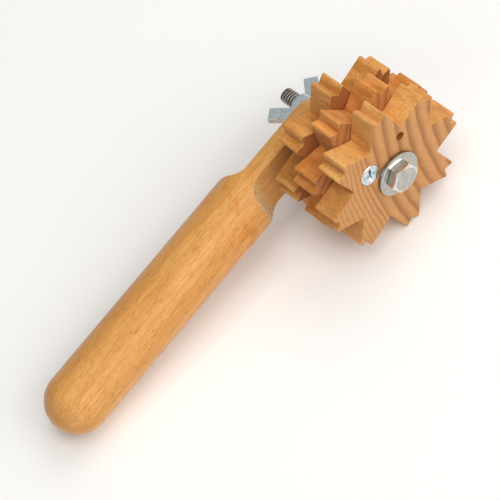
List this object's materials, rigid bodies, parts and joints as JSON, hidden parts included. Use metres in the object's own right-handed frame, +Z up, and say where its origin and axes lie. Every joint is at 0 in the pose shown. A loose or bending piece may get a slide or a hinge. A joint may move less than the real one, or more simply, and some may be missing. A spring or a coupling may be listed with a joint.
{
  "type": "clay texture wheel",
  "caption": "Wooden hand tool with a wheel of stacked, notched star discs that turns on a bolt beside a round handle, for rolling a pattern into soft clay.",
  "frame": {"origin": "on the floor, under the middle of the tool's box", "axes": "+X towards the wheel's end of the tool, +Y along the bolt towards the wing nut, +Z up; the tool rests on the wheel's rim and the grip's end"},
  "size_m": [0.1828, 0.0672, 0.0624],
  "materials": {
    "beech": "sanded, unvarnished",
    "red_beech": "sanded, unvarnished, redder board",
    "stainless": "plain stainless steel",
    "zinc": "bright zinc plate"
  },
  "bodies": {
    "handle": {"handle": "beech"},
    "axle": {"axle_bolt": "stainless", "front_washer": "stainless", "rear_washer": "stainless", "jam_nut": "stainless"},
    "wheel": {"star_disc_front": "beech", "star_disc_middle": "red_beech", "star_disc_rear": "beech", "disc_screw": "zinc"},
    "wing_nut": {"wing_nut": "zinc"}
  },
  "joints": [
    {"name": "wing_nut_turn", "type": "hinge", "parent": "handle", "child": "wing_nut", "pos_m": [0.06017, 0.02175, 0.0312], "axis": [0, 1, 0], "range_deg": [0, 3600]},
    {"name": "axle_draw", "type": "slide", "parent": "handle", "child": "axle", "axis": [0, -1, 0], "range_m": [0, 0.0127]},
    {"name": "wheel_spin", "type": "hinge", "parent": "axle", "child": "wheel", "pos_m": [0.06017, -0.0116, 0.0312], "axis": [0, 1, 0], "continuous": true}
  ],
  "couplings": [
    {"joint": "wing_nut_turn", "follows": "axle_draw", "rad_per_m": 4947.4}
  ]
}
